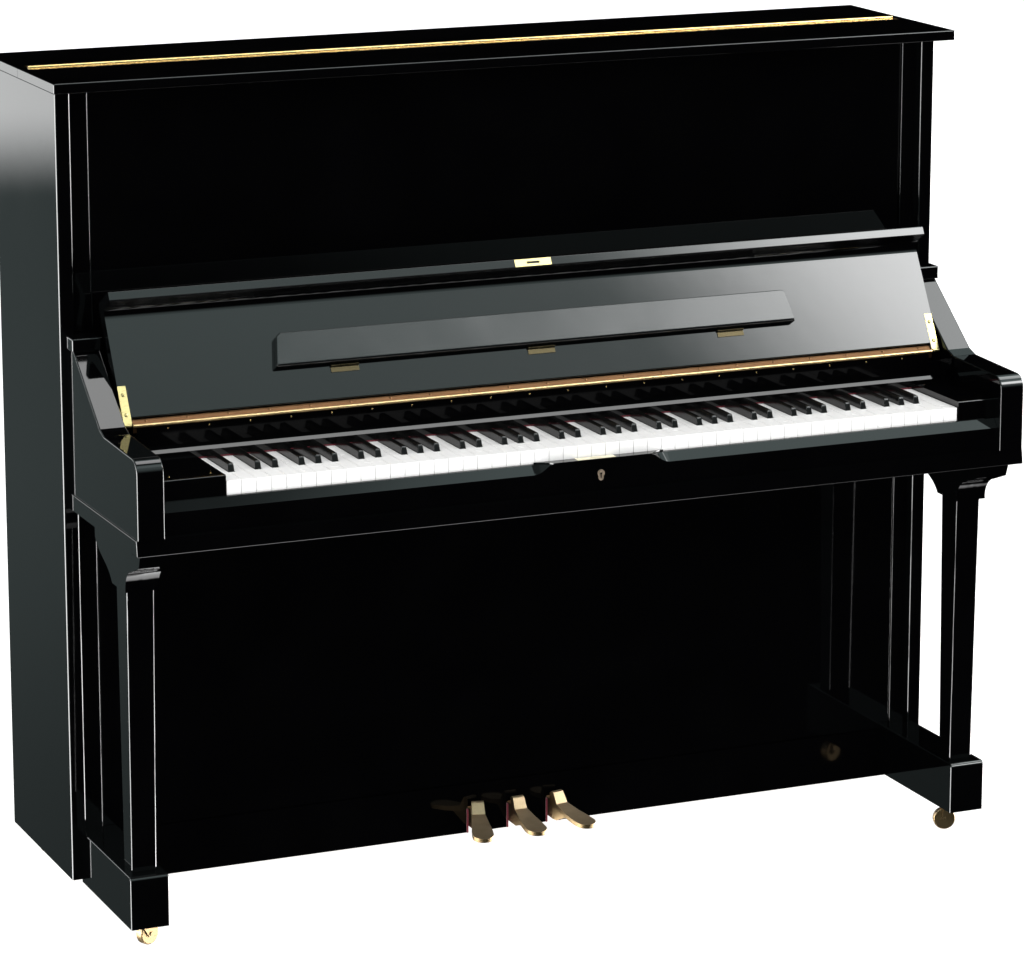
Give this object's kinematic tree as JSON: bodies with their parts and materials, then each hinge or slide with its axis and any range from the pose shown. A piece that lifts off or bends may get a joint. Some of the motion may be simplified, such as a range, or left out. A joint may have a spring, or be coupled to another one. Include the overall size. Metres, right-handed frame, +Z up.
{
  "type": "upright piano",
  "caption": "Tall upright piano in gloss black with an open fallboard, folding music desk, hinged lid, moving keys, pedals and swivelling casters.",
  "frame": {"origin": "on the floor, in the middle of the overall width and depth", "axes": "+X to the player's right, +Y towards the back, +Z up"},
  "size_m": [1.53, 0.65, 1.31],
  "materials": {
    "black_lacquer": "mirror-gloss polished black lacquer",
    "brass": "polished, lacquered brass",
    "plated_brass": "polished pale brass",
    "ivory": "glossy white key covers",
    "ebony": "satin black key caps",
    "spruce": "light satin spruce",
    "beech": "satin beech",
    "felt": "dark red felt",
    "iron": "bronze-painted cast iron",
    "steel": "bright drawn steel"
  },
  "bodies": {
    "case": {"arm_caps": "black_lacquer", "arm_left": "black_lacquer", "arm_right": "black_lacquer", "back_frame": "beech", "bottom_board": "beech", "bottom_rail": "black_lacquer", "case_side_left": "black_lacquer", "case_side_right": "black_lacquer", "case_stiles": "black_lacquer", "caster_plates": "brass", "fallboard_hinge_fixed": "brass", "felts": "felt", "iron_plate": "iron", "key_blocks": "black_lacquer", "key_frame": "spruce", "key_slip": "black_lacquer", "keybed": "black_lacquer", "keybed_moulding": "black_lacquer", "legs": "black_lacquer", "lid_hinge_fixed": "brass", "lid_rear": "black_lacquer", "lower_panel": "black_lacquer", "nameboard": "black_lacquer", "pedal_brackets": "steel", "slip_lock": "brass", "soundboard": "spruce", "strings": "steel", "toe_blocks": "black_lacquer", "upper_panel": "black_lacquer"},
    "lid_front": {"lid_front": "black_lacquer", "lid_hinge_moving": "brass"},
    "fallboard": {"fallboard": "black_lacquer", "fallboard_lip": "black_lacquer", "fallboard_hinge_moving": "brass", "fallboard_fittings": "brass"},
    "music_desk": {"music_desk": "black_lacquer", "desk_hinge_moving": "brass"},
    "key_c": {"keys_c": "ivory"},
    "key_c_sharp": {"keys_c_sharp": "ebony"},
    "key_d": {"keys_d": "ivory"},
    "key_d_sharp": {"keys_d_sharp": "ebony"},
    "key_e": {"keys_e": "ivory"},
    "key_f": {"keys_f": "ivory"},
    "key_f_sharp": {"keys_f_sharp": "ebony"},
    "key_g": {"keys_g": "ivory"},
    "key_g_sharp": {"keys_g_sharp": "ebony"},
    "key_a": {"keys_a": "ivory"},
    "key_a_sharp": {"keys_a_sharp": "ebony"},
    "key_b": {"keys_b": "ivory"},
    "pedal_left": {"pedal_left": "plated_brass"},
    "pedal_middle": {"pedal_middle": "plated_brass"},
    "pedal_right": {"pedal_right": "plated_brass"},
    "fork_front_left": {"caster_fork_front_left": "plated_brass"},
    "wheel_front_left": {"caster_wheel_front_left": "plated_brass"},
    "fork_front_right": {"caster_fork_front_right": "plated_brass"},
    "wheel_front_right": {"caster_wheel_front_right": "plated_brass"},
    "fork_rear_left": {"caster_fork_rear_left": "plated_brass"},
    "wheel_rear_left": {"caster_wheel_rear_left": "plated_brass"},
    "fork_rear_right": {"caster_fork_rear_right": "plated_brass"},
    "wheel_rear_right": {"caster_wheel_rear_right": "plated_brass"}
  },
  "joints": [
    {"name": "lid_front_hinge", "type": "hinge", "parent": "case", "child": "lid_front", "pos_m": [0, 0.147, 1.3075], "axis": [-1, 0, 0], "range_deg": [0, 178]},
    {"name": "fallboard_hinge", "type": "hinge", "parent": "case", "child": "fallboard", "pos_m": [0, -0.13, 0.798], "axis": [1, 0, 0], "range_deg": [0, 129]},
    {"name": "music_desk_hinge", "type": "hinge", "parent": "fallboard", "child": "music_desk", "pos_m": [0, -0.10037, 0.85681], "axis": [-1, 0, 0], "range_deg": [-100, 0]},
    {"name": "key_c_press", "type": "hinge", "parent": "case", "child": "key_c", "pos_m": [0, -0.08, 0.7195], "axis": [1, 0, 0], "range_deg": [0, 2.6], "stiffness_Nm_per_rad": 6, "springref_deg": -20.05},
    {"name": "key_c_sharp_press", "type": "hinge", "parent": "case", "child": "key_c_sharp", "pos_m": [0, -0.08, 0.7195], "axis": [1, 0, 0], "range_deg": [0, 2.6], "stiffness_Nm_per_rad": 6, "springref_deg": -20.05},
    {"name": "key_d_press", "type": "hinge", "parent": "case", "child": "key_d", "pos_m": [0, -0.08, 0.7195], "axis": [1, 0, 0], "range_deg": [0, 2.6], "stiffness_Nm_per_rad": 6, "springref_deg": -20.05},
    {"name": "key_d_sharp_press", "type": "hinge", "parent": "case", "child": "key_d_sharp", "pos_m": [0, -0.08, 0.7195], "axis": [1, 0, 0], "range_deg": [0, 2.6], "stiffness_Nm_per_rad": 6, "springref_deg": -20.05},
    {"name": "key_e_press", "type": "hinge", "parent": "case", "child": "key_e", "pos_m": [0, -0.08, 0.7195], "axis": [1, 0, 0], "range_deg": [0, 2.6], "stiffness_Nm_per_rad": 6, "springref_deg": -20.05},
    {"name": "key_f_press", "type": "hinge", "parent": "case", "child": "key_f", "pos_m": [0, -0.08, 0.7195], "axis": [1, 0, 0], "range_deg": [0, 2.6], "stiffness_Nm_per_rad": 6, "springref_deg": -20.05},
    {"name": "key_f_sharp_press", "type": "hinge", "parent": "case", "child": "key_f_sharp", "pos_m": [0, -0.08, 0.7195], "axis": [1, 0, 0], "range_deg": [0, 2.6], "stiffness_Nm_per_rad": 6, "springref_deg": -20.05},
    {"name": "key_g_press", "type": "hinge", "parent": "case", "child": "key_g", "pos_m": [0, -0.08, 0.7195], "axis": [1, 0, 0], "range_deg": [0, 2.6], "stiffness_Nm_per_rad": 6, "springref_deg": -20.05},
    {"name": "key_g_sharp_press", "type": "hinge", "parent": "case", "child": "key_g_sharp", "pos_m": [0, -0.08, 0.7195], "axis": [1, 0, 0], "range_deg": [0, 2.6], "stiffness_Nm_per_rad": 6, "springref_deg": -20.05},
    {"name": "key_a_press", "type": "hinge", "parent": "case", "child": "key_a", "pos_m": [0, -0.08, 0.7195], "axis": [1, 0, 0], "range_deg": [0, 2.6], "stiffness_Nm_per_rad": 6, "springref_deg": -20.05},
    {"name": "key_a_sharp_press", "type": "hinge", "parent": "case", "child": "key_a_sharp", "pos_m": [0, -0.08, 0.7195], "axis": [1, 0, 0], "range_deg": [0, 2.6], "stiffness_Nm_per_rad": 6, "springref_deg": -20.05},
    {"name": "key_b_press", "type": "hinge", "parent": "case", "child": "key_b", "pos_m": [0, -0.08, 0.7195], "axis": [1, 0, 0], "range_deg": [0, 2.6], "stiffness_Nm_per_rad": 6, "springref_deg": -20.05},
    {"name": "pedal_left_press", "type": "hinge", "parent": "case", "child": "pedal_left", "pos_m": [-0.0674, 0.13, 0.066], "axis": [1, 0, 0], "range_deg": [0, 4], "stiffness_Nm_per_rad": 30, "springref_deg": -8.59},
    {"name": "pedal_middle_press", "type": "hinge", "parent": "case", "child": "pedal_middle", "pos_m": [0.0033, 0.13, 0.066], "axis": [1, 0, 0], "range_deg": [0, 4], "stiffness_Nm_per_rad": 30, "springref_deg": -8.59},
    {"name": "pedal_right_press", "type": "hinge", "parent": "case", "child": "pedal_right", "pos_m": [0.0732, 0.13, 0.066], "axis": [1, 0, 0], "range_deg": [0, 4], "stiffness_Nm_per_rad": 30, "springref_deg": -8.59},
    {"name": "swivel_front_left", "type": "hinge", "parent": "case", "child": "fork_front_left", "pos_m": [-0.705, -0.19, 0.048], "axis": [0, 0, 1], "continuous": true},
    {"name": "roll_front_left", "type": "hinge", "parent": "fork_front_left", "child": "wheel_front_left", "pos_m": [-0.69322, -0.18451, 0.018], "axis": [0.4226, -0.9063, 0], "continuous": true},
    {"name": "swivel_front_right", "type": "hinge", "parent": "case", "child": "fork_front_right", "pos_m": [0.705, -0.19, 0.048], "axis": [0, 0, 1], "continuous": true},
    {"name": "roll_front_right", "type": "hinge", "parent": "fork_front_right", "child": "wheel_front_right", "pos_m": [0.69278, -0.18555, 0.018], "axis": [0.342, 0.9397, 0], "continuous": true},
    {"name": "swivel_rear_left", "type": "hinge", "parent": "case", "child": "fork_rear_left", "pos_m": [-0.69, 0.288, 0.048], "axis": [0, 0, 1], "continuous": true},
    {"name": "roll_rear_left", "type": "hinge", "parent": "fork_rear_left", "child": "wheel_rear_left", "pos_m": [-0.70222, 0.28355, 0.018], "axis": [-0.342, 0.9397, 0], "continuous": true},
    {"name": "swivel_rear_right", "type": "hinge", "parent": "case", "child": "fork_rear_right", "pos_m": [0.69, 0.288, 0.048], "axis": [0, 0, 1], "continuous": true},
    {"name": "roll_rear_right", "type": "hinge", "parent": "fork_rear_right", "child": "wheel_rear_right", "pos_m": [0.68555, 0.30022, 0.018], "axis": [0.9397, 0.342, 0], "continuous": true}
  ]
}
